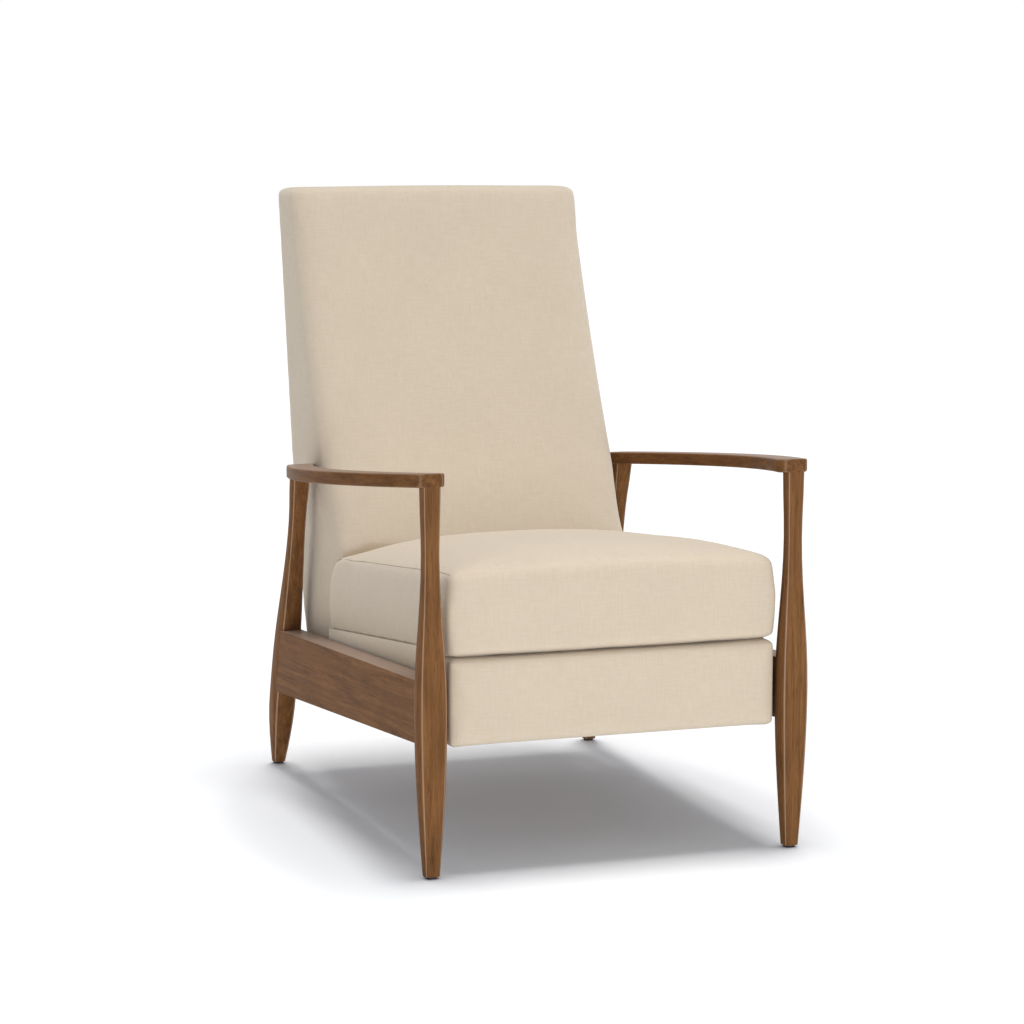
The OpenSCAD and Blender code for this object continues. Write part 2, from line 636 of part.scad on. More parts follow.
module back_webbing() color(black_web) placed() for (i = [0:back_webs - 1]) {
  z = spread_at(bend_height + rail_deep + back_web_edge, cap_height - rail_deep - back_web_edge, i, back_webs);
  plate(-stile_inner, 2 * stile_inner) polygon([for (p = [[0, 0], [0, web_width], [1, web_width], [1, 0]])
    [core_line(z + p[1]) + soft_gap + p[0] * web_thick, z + p[1]]]);
}
// Cover: a rear panel with rounded edges and two side panels
function cover_heights() = concat(heights(back_low, bend_height, 5),
  heights(bend_height + rail_deep, cap_height - soft_gap, 8));
function side_ring_at(z) = let (ym = foam_seam(z) + soft_gap, yr = rear_at(z) - cover)
  [[back_outer, ym, z], [back_outer, yr, z], [stile_outer, yr, z], [stile_outer, ym, z]];
function panel_ring_at(z) = let (xo = back_outer, yr = rear_at(z), r = rear_edge)
  [for (p = concat([[xo, yr - r]], [for (a = [30:30:90]) [xo - r + r * cos(a), yr - r + r * sin(a)]],
    [for (a = [90:30:150]) [-xo + r + r * cos(a), yr - r + r * sin(a)]],
    [[-xo, yr - r]])) [p[0], p[1], z]];
module outside_back() color(linen) placed() {
  difference() {
    loft([for (z = cover_heights()) panel_ring_at(z)]);
    loft([for (z = concat([back_low - 1], cover_heights(), [cap_height])) let (x = stile_outer, y = rear_at(z) - cover)
      [[x, y - 2 * rear_edge, z], [x, y, z], [-x, y, z], [-x, y - 2 * rear_edge, z]]]);
  }
  for (s = [1, -1]) scale_side(s) {
    loft([for (z = cover_heights()) side_ring_at(z)]);
    plate(stile_outer, panel_thick) polygon([
      [front_at(back_low) + soft_gap, back_low], [notch_rear + 1, back_low],
      [notch_rear + 1, notch_top - soft_gap], [front_at(back_low) + soft_gap, notch_top - soft_gap]]);
  }
}
module bracket_outline(r) chain2d([link_back, back_hinge, bracket_bolts[0], bracket_bolts[1], link_back], r);
module back_bracket(s) color(black_steel) on_side(s) plate(layer(1), steel) difference() {
  bracket_outline(hub);
  translate(back_hinge) circle(pin + run_gap);
  translate(link_back) circle(pin + fit_gap);
  holes2d(bracket_bolts, bolt + fit_gap);
}
module back_pivots() color(zinc) both()
  pivot(link_back, layer(4), layer(1) + steel, layer(4) + steel, layer(1));
module back_screws() color(zinc) both() for (p = bracket_bolts) bolt_x(p, layer(1), steel + 9);

// Footrest linkage
module lift_arm(s) color(black_steel) on_side(s) {
  plate(layer(2), steel) difference() {
    chain2d([lift_seat, lift_thrust, crank_end], hub);
    holes2d([lift_seat, lift_thrust], pin + run_gap);
  }
  stud(crank_end, 2);
}
module guide_arm(s) link(s, 2, guide_seat, guide_thrust, pin + run_gap, pin + run_gap);
module thrust_arm(s) color(black_steel) on_side(s) plate(layer(3), steel) difference() {
  chain2d([guide_thrust, lift_thrust, board_thrust], hub);
  holes2d([guide_thrust, lift_thrust, board_thrust], pin + fit_gap);
}
module thrust_pivots() color(zinc) both() for (p = [lift_thrust, guide_thrust, board_thrust]) stud(p, 3);
module drive_rod(s) link(s, 1, crank_end, board_drive, pin + run_gap, pin + drive_play);

// Footrest
flange_drop = 54;
flange_rise = 8;
flange_wide = 30;
flange_low = board_thrust[1] - flange_drop;
flange_high = board_thrust[1] + flange_rise;
flange_screws = [for (z = [flange_low + hub, flange_high - hub - flange_rise])
  [layer(2) - flange_wide / 2 + 1, board_back, z]];
module footrest_bracket(s) color(black_steel) on_side(s) {
  difference() {
    plate(layer(2), steel) difference() {
      union() {
        bar2d(board_thrust, board_drive, hub);
        polygon([[board_back, flange_low], board_drive - [0, hub], board_drive, board_thrust + [0, hub - 0.5],
          [board_back, flange_high]]);
      }
      translate(board_thrust) circle(pin + run_gap);
    }
  }
  stud(board_drive, 2);
  difference() {
    translate([layer(2) + steel - flange_wide, board_back, flange_low])
      cube([flange_wide - steel / 2, steel, flange_high - flange_low]);
    for (p = flange_screws) board_screw(p, fit_gap);
  }
}
module board_screw(p, gap) translate(p) rotate([-90, 0, 0]) {
  translate([0, 0, -board_thick * 0.7 - gap]) cylinder(r = bolt + gap, h = board_thick * 0.7 + steel + 2 * gap);
  if (gap == 0) translate([0, 0, steel]) cylinder(r = bolt + head_lip - 1, h = head_thick);
}
module footrest_screws() color(zinc) both() for (p = flange_screws) board_screw(p, 0);
module board_block(gap) translate([-pad_core - gap, board_front - gap, pad_low + panel_thick + soft_gap - gap])
  cube([2 * (pad_core + gap), board_thick + 4 * gap, pad_height - 2 * (panel_thick + soft_gap - gap)]);
module footrest_board() color(beech) difference() {
  placed() board_block(0);
  both() for (p = flange_screws) board_screw(p, fit_gap);
}
function pad_ring(y, inset) = [for (p = ring_points(2 * (pad_outer - inset), pad_height - 2 * inset,
    pad_round - inset * 0.6, 4)) [p[0], y, pad_low + pad_height / 2 + p[1]]];
module footrest_pad() color(linen) placed() difference() {
  loft_back(concat([for (a = [0:22.5:90]) pad_ring(pad_front + pad_round * (1 - cos(a)),
    pad_round * (1 - sin(a)))], [pad_ring(board_back, 0)]));
  board_block(soft_gap);
}

front_leg(1);  // front_leg_left
front_leg(-1);  // front_leg_right
rear_leg(1);  // rear_leg_left
rear_leg(-1);  // rear_leg_right
side_rail(1);  // side_rail_left
side_rail(-1);  // side_rail_right
arm(1);  // arm_left
arm(-1);  // arm_right
stretcher_bored(stretcher_front);  // front_stretcher
stretcher_bored(stretcher_rear);  // rear_stretcher
joint_dowels();
leg_glides();
base_plate(1);  // base_plate_left
base_plate(-1);  // base_plate_right
stretcher_brackets();
frame_screws();
base_pivots();
front_swing(1);  // front_swing_left
front_swing(-1);  // front_swing_right
rear_swing(1);  // rear_swing_left
rear_swing(-1);  // rear_swing_right
back_link(1);  // back_link_left
back_link(-1);  // back_link_right
seat_plate(1);  // seat_plate_left
seat_plate(-1);  // seat_plate_right
seat_side(1);  // seat_side_left
seat_side(-1);  // seat_side_right
seat_front_rail();
seat_rear_rail();
seat_webbing();
seat_side_panels();
seat_cushion();
seat_pivots();
seat_screws();
back_stile(1);  // back_stile_left
back_stile(-1);  // back_stile_right
back_top_rail();
back_bottom_rail();
back_webbing();
back_bracket(1);  // back_bracket_left
back_bracket(-1);  // back_bracket_right
back_cushion();
outside_back();
back_pivots();
back_screws();
lift_arm(1);  // lift_arm_left
lift_arm(-1);  // lift_arm_right
guide_arm(1);  // guide_arm_left
guide_arm(-1);  // guide_arm_right
thrust_arm(1);  // thrust_arm_left
thrust_arm(-1);  // thrust_arm_right
thrust_pivots();
drive_rod(1);  // drive_rod_left
drive_rod(-1);  // drive_rod_right
footrest_bracket(1);  // footrest_bracket_left
footrest_bracket(-1);  // footrest_bracket_right
footrest_board();
footrest_pad();
footrest_screws();
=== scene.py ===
# %% [markdown]
# # A push-back recliner in linen and walnut
# The real chair has a bare walnut frame. Its seat, back and footrest move on
# steel linkages that are hidden inside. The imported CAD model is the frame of
# this scene: every piece below lies where a CAD node says, and moves with the
# body that carries it. Rigid pieces keep their CAD shape, which is right
# already, and get a finish. The upholstery could keep its CAD solids too, but
# a plain solid can't show how cloth lies over foam, so it is made again.

# %% Load the frame
import math

import bmesh
import bpy
from mathutils import Matrix, Vector
from mathutils.bvhtree import BVHTree
from mathutils.kdtree import KDTree


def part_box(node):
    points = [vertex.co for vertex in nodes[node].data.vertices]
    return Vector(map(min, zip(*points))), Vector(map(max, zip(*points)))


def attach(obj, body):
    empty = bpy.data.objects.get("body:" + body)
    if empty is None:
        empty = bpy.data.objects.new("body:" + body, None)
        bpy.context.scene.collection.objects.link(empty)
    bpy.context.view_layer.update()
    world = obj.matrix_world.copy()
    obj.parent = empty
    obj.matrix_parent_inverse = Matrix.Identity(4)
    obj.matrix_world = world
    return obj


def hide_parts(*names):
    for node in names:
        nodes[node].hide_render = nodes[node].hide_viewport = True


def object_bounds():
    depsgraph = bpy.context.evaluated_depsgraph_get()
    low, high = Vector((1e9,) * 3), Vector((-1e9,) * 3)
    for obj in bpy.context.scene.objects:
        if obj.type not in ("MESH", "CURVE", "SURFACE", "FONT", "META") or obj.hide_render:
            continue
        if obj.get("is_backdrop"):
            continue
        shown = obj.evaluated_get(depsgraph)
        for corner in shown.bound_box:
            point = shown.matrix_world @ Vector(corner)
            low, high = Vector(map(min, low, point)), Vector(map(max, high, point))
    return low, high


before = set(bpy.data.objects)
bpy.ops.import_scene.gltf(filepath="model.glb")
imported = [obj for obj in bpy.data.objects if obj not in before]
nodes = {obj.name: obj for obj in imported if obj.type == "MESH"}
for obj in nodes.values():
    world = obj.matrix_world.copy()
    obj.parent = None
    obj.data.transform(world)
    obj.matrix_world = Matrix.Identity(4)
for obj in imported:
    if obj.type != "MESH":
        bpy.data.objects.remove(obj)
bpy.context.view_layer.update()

# %% [markdown]
# ## Camera and light
# The camera stands about 4.5 m from the front legs, in front of the chair and
# to its right-hand side, 1.1 m up. A long lens from far off keeps verticals
# nearly parallel, as in a product photograph. Its lens and place were solved
# from the legs, the rails and the arms, because these are the firm parts.
# Depths in this script count from the line through the front legs.

# %% Camera
LEG_LINE = (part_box("front_leg_left")[0][1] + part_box("front_leg_left")[1][1]) / 2
CAMERA_ASIDE = 1.6607
CAMERA_AHEAD = 4.1524
CAMERA_HEIGHT = 1.1252
CAMERA_DIP = 7.331
CAMERA_TURN = 19.759

camera = bpy.data.objects.new("camera", bpy.data.cameras.new("camera"))
bpy.context.scene.collection.objects.link(camera)
camera.data.sensor_width = 36.0
camera.data.lens = 103.18
camera.data.clip_end = 100
camera.location = (-CAMERA_ASIDE, LEG_LINE - CAMERA_AHEAD, CAMERA_HEIGHT)
camera.rotation_euler = (math.radians(90 - CAMERA_DIP), 0, -math.radians(CAMERA_TURN))
bpy.context.scene.camera = camera
print("front leg line at", round(LEG_LINE, 4))

# %% [markdown]
# Every finish below is a small tree of nodes. One function turns a colour
# from the way it is written, sRGB, into the linear light that nodes reckon
# in. A second one adds a node together with its settings and links.


# %% Colours and nodes
def linear(hex_colour):
    """An sRGB hex colour such as 8a6040 as a linear RGBA colour."""
    channels = [int(hex_colour[i : i + 2], 16) / 255 for i in (0, 2, 4)]
    return [c / 12.92 if c <= 0.04045 else ((c + 0.055) / 1.055) ** 2.4 for c in channels] + [1.0]


def add(tree, kind, inputs=None, **settings):
    """Adds a node. An input takes a value, a socket, or a node's first output."""
    made = tree.nodes.new(kind)
    for name, value in settings.items():
        setattr(made, name, value)
    for key, value in (inputs or {}).items():
        if isinstance(value, bpy.types.Node):
            value = value.outputs[0]
        if isinstance(value, bpy.types.NodeSocket):
            tree.links.new(value, made.inputs[key])
        else:
            made.inputs[key].default_value = value
    return made


def new_material(name):
    """An empty node material and its tree."""
    material = bpy.data.materials.new(name)
    material.use_nodes = True
    material.node_tree.nodes.clear()
    return material, material.node_tree


# %% [markdown]
# A studio wraps the chair in white walls. They could be modelled, but the
# world does the same with less: it lights the chair softly at less than half
# strength, and only what the camera sees directly, in a reflection or through
# glass is pure white. So the background turns white without more light.

# %% White room
ROOM_STRENGTH = 0.45

world = bpy.data.worlds.new("white_room")
bpy.context.scene.world = world
world.use_nodes = True
sky = world.node_tree
sky.nodes.clear()
ray = add(sky, "ShaderNodeLightPath")
seen = (ray.outputs["Is Camera Ray"], ray.outputs["Is Glossy Ray"], ray.outputs["Is Transmission Ray"])
either = add(sky, "ShaderNodeMath", {0: seen[0], 1: seen[1]}, operation="MAXIMUM")
shown = add(sky, "ShaderNodeMath", {0: either, 1: seen[2]}, operation="MAXIMUM")
room_light = add(sky, "ShaderNodeBackground", {"Color": linear("f8f9fb"), "Strength": ROOM_STRENGTH})
white = add(sky, "ShaderNodeBackground", {"Color": (1, 1, 1, 1), "Strength": 1.0})
room = add(sky, "ShaderNodeMixShader", {0: shown, 1: room_light, 2: white})
add(sky, "ShaderNodeOutputWorld", {"Surface": room})
bpy.context.scene.view_settings.view_transform = "Standard"
print("room light", ROOM_STRENGTH)

# %% [markdown]
# One broad light hangs over the chair. It is a sun whose disk is 24 degrees
# wide, so that the shadow under the seat has soft edges and the same light
# reaches every part. A large disk low in front fills the shaded fronts. The
# lamps stay low enough that the linen keeps its colour.


# %% Lamps
def lamp(name, kind, energy, location, target, **settings):
    """A lamp at location that points at target."""
    light = bpy.data.objects.new(name, bpy.data.lights.new(name, kind))
    bpy.context.scene.collection.objects.link(light)
    light.data.energy = energy
    light.location = location
    light.rotation_euler = (Vector(target) - Vector(location)).to_track_quat("-Z", "Y").to_euler()
    for key, value in settings.items():
        setattr(light.data, key, value)
    return light


lamp("overhead", "SUN", energy=2.0, location=(0.3, 0.3, 4), target=(0, 0, 0), angle=math.radians(24))
front_fill = lamp(
    "front_fill", "AREA", energy=86, location=(0.4, -4.6, 0.6), target=(0, 0, 0.4), shape="DISK", size=3.0
)

# %% [markdown]
# The floor is a sheet of white paper. The low fill would reach under the seat
# and wash out the shadow there, so light linking leaves the floor out of it:
# the lamp has a collection of things that it doesn't light. The floor also
# glows a little blue all over. This painted glow comes from no lamp, and it
# balances the warm light that the linen and the walnut throw on the shadow.

# %% Floor
floor_mesh = bmesh.new()
bmesh.ops.create_grid(floor_mesh, x_segments=1, y_segments=1, size=30)
floor_data = bpy.data.meshes.new("floor")
floor_mesh.to_mesh(floor_data)
floor_mesh.free()
floor = bpy.data.objects.new("floor", floor_data)
bpy.context.scene.collection.objects.link(floor)
paper, tree = new_material("white_paper_sweep")
matt = add(tree, "ShaderNodeBsdfDiffuse", {"Color": (1, 1, 1, 1)})
# A faint painted blue glow that cools the shadow under the chair
painted_blue_glow = add(tree, "ShaderNodeEmission", {"Color": (0.35, 0.62, 1, 1), "Strength": 0.06})
sheet = add(tree, "ShaderNodeAddShader", {0: matt, 1: painted_blue_glow})
add(tree, "ShaderNodeOutputMaterial", {"Surface": sheet})
floor_data.materials.append(paper)
floor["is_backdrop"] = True
unlit = bpy.data.collections.new("not_in_the_fill")
unlit.objects.link(floor)
front_fill.light_linking.receiver_collection = unlit
unlit.collection_objects[0].light_linking.link_state = "EXCLUDE"
print("the fill leaves out", floor.name)

# %% [markdown]
# ## Finishes
# Oiled walnut has long straight grain with short dark pores and slow changes
# from dark to light heartwood. A wood texture with rings could make it, but
# these boards are cut along the grain, where rings show as long streaks. So
# noise is stretched along the axis in which each piece was cut.


# %% Walnut grain
HEARTWOOD = ("5f3f28", "926740")


def streaks(tree, place, along, across_mm, length_mm, **settings):
    """Noise stretched along one axis, its streaks across_mm wide and length_mm long."""
    scale = [1000 / across_mm] * 3
    scale[along] = 1000 / length_mm
    laid = add(tree, "ShaderNodeMapping", {"Vector": place, "Scale": scale})
    return add(tree, "ShaderNodeTexNoise", {"Vector": laid, "Scale": 1.0, **settings})


def walnut_grain(tree, place, along, shade):
    """The colour of bare walnut, and how dark its pores are, from 1 down."""
    bands = streaks(tree, place, along, 11, 300, Detail=6.0, Roughness=0.62, Distortion=1.1)
    figure = streaks(tree, place, along, 34, 70, Detail=3.0, Roughness=0.5, Distortion=0.5)
    # Real pores are 0.2 mm wide; they are drawn 1.3 mm wide so that they show
    pores = streaks(tree, place, along, 1.3, 26, Detail=2.0, Roughness=0.55)
    tone = add(tree, "ShaderNodeValToRGB", {"Fac": bands})
    for stop, position, colour in zip(tone.color_ramp.elements, (0.24, 0.76), HEARTWOOD):
        stop.position = position
        stop.color = linear(colour)
    flame = add(
        tree,
        "ShaderNodeMapRange",
        {"Value": figure, "From Min": 0.35, "From Max": 0.65, "To Min": 0.93, "To Max": 1.06},
    )
    dark = add(
        tree,
        "ShaderNodeMapRange",
        {"Value": pores, "From Min": 0.54, "From Max": 0.66, "To Min": 1.0, "To Max": 0.74},
    )
    figured = add(tree, "ShaderNodeVectorMath", {0: tone, "Scale": flame}, operation="SCALE")
    pored = add(tree, "ShaderNodeVectorMath", {0: figured, "Scale": dark}, operation="SCALE")
    grain = add(tree, "ShaderNodeVectorMath", {0: pored, "Scale": shade}, operation="SCALE")
    return grain, dark


# %% [markdown]
# A narrow paler line is painted along the eased edges. It is a painted
# highlight, where the oiled edges catch the light. Level tops get a paler,
# greyer colour, which is a painted sheen. An edge mask could be painted by
# hand. Here the surface's own normal finds both: a face that looks between
# two axes is an eased edge, and one that looks straight up is a top.

# %% Walnut painted highlights
# Colours of the painted highlights: a paler line on eased edges, a greyer sheen on level tops
EDGE_HIGHLIGHT_COLOUR = "cfb29b"
TOP_SHEEN_COLOUR = "b9aaa0"
# A colour Mix node has its two colours in these sockets; their names repeat
COLOUR_A, COLOUR_B, MIXED = 6, 7, 2


def walnut_painted_highlights(tree, grain, normal, edge_highlight, top_sheen):
    """Mixes painted highlights into the grain: a paler line on eased edges, a greyer sheen on level tops.
    """
    squares = add(tree, "ShaderNodeVectorMath", {0: normal, 1: normal}, operation="MULTIPLY")
    parts = add(tree, "ShaderNodeSeparateXYZ", {0: squares})
    larger = add(tree, "ShaderNodeMath", {0: parts.outputs[0], 1: parts.outputs[1]}, operation="MAXIMUM")
    largest = add(tree, "ShaderNodeMath", {0: larger, 1: parts.outputs[2]}, operation="MAXIMUM")
    # Painted highlight along the eased edges, where the normal looks between two axes
    edge_highlight_mask = add(
        tree,
        "ShaderNodeMapRange",
        {"Value": largest, "From Min": 0.50, "From Max": 0.66, "To Min": edge_highlight, "To Max": 0.0},
    )
    edge_highlight_mix = {0: edge_highlight_mask, COLOUR_A: grain, COLOUR_B: linear(EDGE_HIGHLIGHT_COLOUR)}
    with_edge_highlight = add(tree, "ShaderNodeMix", edge_highlight_mix, data_type="RGBA").outputs[MIXED]
    facing = add(tree, "ShaderNodeSeparateXYZ", {0: normal})
    # Painted sheen on level tops, where the normal looks straight up
    top_sheen_mask = add(
        tree,
        "ShaderNodeMapRange",
        {"Value": facing.outputs[2], "From Min": 0.90, "From Max": 0.98, "To Min": 0.0, "To Max": top_sheen},
    )
    top_sheen_mix = {0: top_sheen_mask, COLOUR_A: with_edge_highlight, COLOUR_B: linear(TOP_SHEEN_COLOUR)}
    return add(tree, "ShaderNodeMix", top_sheen_mix, data_type="RGBA").outputs[MIXED]


# %% [markdown]
# The oil soaks in and leaves hardly any film, so the wood is rather rough and
# reflects next to nothing face on. The rails and arms are cut a few degrees
# off the grain, as real boards are. The arms' walnut is drawn darker.


# %% Walnut
def walnut(name, along, slant=0, top_sheen=0.2, shade=1.0, edge_highlight=0.55):
    """Oiled walnut with its grain along axis 0, 1 or 2, slant degrees off it."""
    material, tree = new_material(name)
    place = add(tree, "ShaderNodeTexCoord")
    turn = (math.radians(slant), 0, 0)
    turned = add(tree, "ShaderNodeMapping", {"Vector": place.outputs["Object"], "Rotation": turn})
    grain, dark = walnut_grain(tree, turned, along, shade)
    # Painted highlights on the eased edges and a painted sheen on the tops
    with_painted_highlights = walnut_painted_highlights(tree, grain, place.outputs["Normal"], edge_highlight, top_sheen)
    relief = add(tree, "ShaderNodeBump", {"Height": dark, "Strength": 0.25, "Distance": 0.0003})
    finish = {"Base Color": with_painted_highlights, "Roughness": 0.38, "Specular IOR Level": 0.01, "Normal": relief}
    skin = add(tree, "ShaderNodeBsdfPrincipled", finish)
    add(tree, "ShaderNodeOutputMaterial", {"Surface": skin})
    return material


UPRIGHT, LENGTHWISE = 2, 1
# Each board gets its own strength of painted sheen on tops and painted highlight on edges
walnut_upright = walnut("oiled_walnut_upright", UPRIGHT)
walnut_lengthwise = walnut("oiled_walnut_lengthwise", LENGTHWISE, slant=2, top_sheen=0.35, shade=0.88, edge_highlight=0.2)
walnut_rail = walnut("oiled_walnut_rail", LENGTHWISE, slant=3, top_sheen=0.5, edge_highlight=0.3)
print("walnut", walnut_upright.name, walnut_lengthwise.name, walnut_rail.name)

# %% [markdown]
# The cover is a fine plain-weave linen in a natural cream: warp and weft
# cross over and under, a thread at a time. A checked texture would look
# printed, so the weave is worked out from two sets of waves, and gives both
# the shade between the threads and their relief. It follows each piece's own
# UV map, laid in metres, so that the threads keep one size.


# %% Linen weave
THREADS_APART = 0.0030


def woven(tree, laid):
    """Height of a plain weave, from 0 between the threads to 1 on top of them."""
    sides = add(tree, "ShaderNodeSeparateXYZ", {0: laid})
    # Real threads lie 0.7 mm apart; they are drawn 3 mm apart so that they show
    turn = math.pi / THREADS_APART
    waves = []
    for side in (0, 1):
        phase = add(tree, "ShaderNodeMath", {0: sides.outputs[side], 1: turn}, operation="MULTIPLY")
        waves.append(add(tree, "ShaderNodeMath", {0: phase}, operation="SINE"))
    warp, weft = [add(tree, "ShaderNodeMath", {0: wave}, operation="ABSOLUTE") for wave in waves]
    crossing = add(tree, "ShaderNodeMath", {0: waves[0], 1: waves[1]}, operation="MULTIPLY")
    over = add(tree, "ShaderNodeMath", {0: crossing, 1: 0.0}, operation="GREATER_THAN")
    return add(tree, "ShaderNodeMix", {"Factor": over, "A": warp, "B": weft})


# %% [markdown]
# Slubs, the thicker stretches of flax thread, give linen its slow soft
# mottling. They are short streaks of noise along the warp and the weft.

# %% Linen slubs
# Spots to the metre: slubs 3 mm thick and 28 mm long, and patches of 110 mm.
# Real slubs are 1 mm thick; they are drawn thicker so that they show.
SLUB_ACROSS, SLUB_ALONG, PATCHES = 330, 36, 9


def slubs(tree, laid, across, along):
    """Noise with so many spots to the metre across and along the cloth."""
    stretched = add(tree, "ShaderNodeMapping", {"Vector": laid, "Scale": (across, along, 1)})
    return add(tree, "ShaderNodeTexNoise", {"Vector": stretched, "Scale": 1.0, "Detail": 3.0})


def thread_colour(tree, laid, light, dark):
    """The colour of unwoven thread, which its slubs darken and lighten."""
    warp_slubs = slubs(tree, laid, SLUB_ACROSS, SLUB_ALONG)
    weft_slubs = slubs(tree, laid, SLUB_ALONG, SLUB_ACROSS)
    mixed = add(tree, "ShaderNodeMath", {0: warp_slubs, 1: weft_slubs}, operation="ADD")
    slub = add(
        tree,
        "ShaderNodeMapRange",
        {"Value": mixed, "From Min": 0.8, "From Max": 1.2, "To Min": 0.0, "To Max": 1.0},
    )
    colours = {0: slub, COLOUR_A: linear(dark), COLOUR_B: linear(light)}
    return add(tree, "ShaderNodeMix", colours, data_type="RGBA").outputs[MIXED]


# %% [markdown]
# Cloth is rough, and its loose fibres scatter light at grazing angles, which
# a little sheen gives. The seams get a darker thread of the same kind. Its
# darkness is partly painted shade, for the shadow in the seams' creases.


# %% Linen
def linen(name, light, dark):
    """Plain-weave linen that reads the piece's own map named cloth."""
    material, tree = new_material(name)
    laid = add(tree, "ShaderNodeUVMap", uv_map="cloth")
    weave = woven(tree, laid)
    thread = thread_colour(tree, laid, light, dark)
    shade = add(
        tree,
        "ShaderNodeMapRange",
        {"Value": weave, "From Min": 0.0, "From Max": 1.0, "To Min": 0.95, "To Max": 1.0},
    )
    patch = add(
        tree,
        "ShaderNodeMapRange",
        {
            "Value": slubs(tree, laid, PATCHES, PATCHES),
            "From Min": 0.3,
            "From Max": 0.7,
            "To Min": 0.98,
            "To Max": 1.01,
        },
    )
    both = add(tree, "ShaderNodeMath", {0: shade, 1: patch}, operation="MULTIPLY")
    cloth = add(tree, "ShaderNodeVectorMath", {0: thread, "Scale": both}, operation="SCALE")
    relief = add(tree, "ShaderNodeBump", {"Height": weave, "Strength": 0.35, "Distance": 0.0004})
    finish = {"Base Color": cloth, "Roughness": 0.92, "Normal": relief, "Specular IOR Level": 0.2}
    sheen = {"Sheen Weight": 0.25, "Sheen Roughness": 0.5}
    skin = add(tree, "ShaderNodeBsdfPrincipled", {**finish, **sheen})
    add(tree, "ShaderNodeOutputMaterial", {"Surface": skin})
    return material


cream_linen = linen("cream_linen", "d8c9b4", "d3c4ae")
# Darker thread: the seam, and partly a painted shadow in its crease
seam_and_crease_shadow_thread = linen("linen_seam_and_crease_shadow", "95836b", "87755e")
print("linen", cream_linen.name, seam_and_crease_shadow_thread.name)

# %% [markdown]
# Out of sight the chair is plain: planed beech, black powder-coated steel,
# zinc-plated rivets and screws, elastic webbing and moulded nylon glides. One
# recipe serves them all. Fine specks of the size that each making leaves,
# such as the pimples of powder coat, vary its colour and its relief.


# %% Hidden materials
def plain(name, colour, roughness, speck_mm, contrast, metallic=0.0, relief=0.1):
    """A finish with fine specks of the given size."""
    material, tree = new_material(name)
    place = add(tree, "ShaderNodeTexCoord")
    size = {"Scale": 1000 / speck_mm, "Detail": 3.0}
    specks = add(tree, "ShaderNodeTexNoise", {"Vector": place.outputs["Object"], **size})
    swing = {"To Min": 1 - contrast, "To Max": 1 + contrast}
    tone = add(tree, "ShaderNodeMapRange", {"Value": specks, "From Min": 0.3, "From Max": 0.7, **swing})
    base = add(tree, "ShaderNodeVectorMath", {0: linear(colour)[:3], "Scale": tone}, operation="SCALE")
    bump = add(tree, "ShaderNodeBump", {"Height": specks, "Strength": relief, "Distance": 0.0003})
    finish = {"Base Color": base, "Roughness": roughness, "Metallic": metallic, "Normal": bump}
    skin = add(tree, "ShaderNodeBsdfPrincipled", finish)
    add(tree, "ShaderNodeOutputMaterial", {"Surface": skin})
    return material


beech = plain("planed_beech", "c8a87c", 0.6, 4, 0.06)
powder_coat = plain("black_powder_coat", "262423", 0.55, 0.8, 0.08, relief=0.3)
zinc_plate = plain("zinc_plate", "b4b6b8", 0.32, 2, 0.05, metallic=1.0)
webbing = plain("elastic_webbing", "1d1c1b", 0.85, 1.5, 0.2, relief=0.5)
nylon = plain("moulded_nylon", "1c1a19", 0.5, 1, 0.05)
print("hidden", beech.name, powder_coat.name, zinc_plate.name, webbing.name, nylon.name)

# %% [markdown]
# ## Rigid pieces
# The CAD mesh is loose triangles. Flat shading would show every one of them,
# and smooth shading alone would blur the cut edges. So the mesh is welded
# and split again only at real edges: then broad curves shade smoothly and
# cut edges stay crisp.


# %% Dress the rigid nodes
WELD = 0.00002


def shade_edges(piece, edge_degrees=36):
    """Welds the piece and splits it again at its sharp edges."""
    weld = piece.modifiers.new("weld", "WELD")
    weld.merge_threshold = WELD
    split = piece.modifiers.new("edges", "EDGE_SPLIT")
    split.split_angle = math.radians(edge_degrees)


def dress(name, material):
    """Gives a CAD node its finish and smooth shading between its sharp edges."""
    piece = nodes[name]
    piece.data.materials.clear()
    piece.data.materials.append(material)
    piece.data.polygons.foreach_set("use_smooth", [True] * len(piece.data.polygons))
    shade_edges(piece)


steel = ["base_plate", "front_swing", "rear_swing", "back_link", "seat_plate", "back_bracket"]
steel += ["lift_arm", "guide_arm", "thrust_arm", "drive_rod", "footrest_bracket"]
for side in ("left", "right"):
    dress(f"front_leg_{side}", walnut_upright)
    dress(f"arm_{side}", walnut_lengthwise)
    dress(f"side_rail_{side}", walnut_rail)
    for name in steel:
        dress(f"{name}_{side}", powder_coat)
    for name in ("seat_side", "back_stile"):
        dress(f"{name}_{side}", beech)
for name in ("front_stretcher", "rear_stretcher", "joint_dowels", "seat_front_rail", "seat_rear_rail"):
    dress(name, beech)
for name in ("back_top_rail", "back_bottom_rail", "footrest_board"):
    dress(name, beech)
for name in ("frame_screws", "base_pivots", "seat_pivots", "seat_screws", "back_pivots", "back_screws"):
    dress(name, zinc_plate)
for name in ("thrust_pivots", "footrest_screws"):
    dress(name, zinc_plate)
dress("stretcher_brackets", powder_coat)
dress("seat_webbing", webbing)
dress("back_webbing", webbing)
dress("leg_glides", nylon)
print("dressed", len([n for n in nodes.values() if n.modifiers]), "rigid nodes")

# %% [markdown]
# ## Upholstery
# Foam fills its cover and rounds it: no face is quite flat and no edge quite
# straight. Sculpting could give that look, but a simulation does it by
# itself and the same way each time. Every soft piece starts as a closed form.
# All but the thin side panels are then remeshed into even quads, which cloth
# needs to move evenly, and subdivided once at the end. These helpers make a
# piece, bake its modifiers, remesh it and subdivide it.


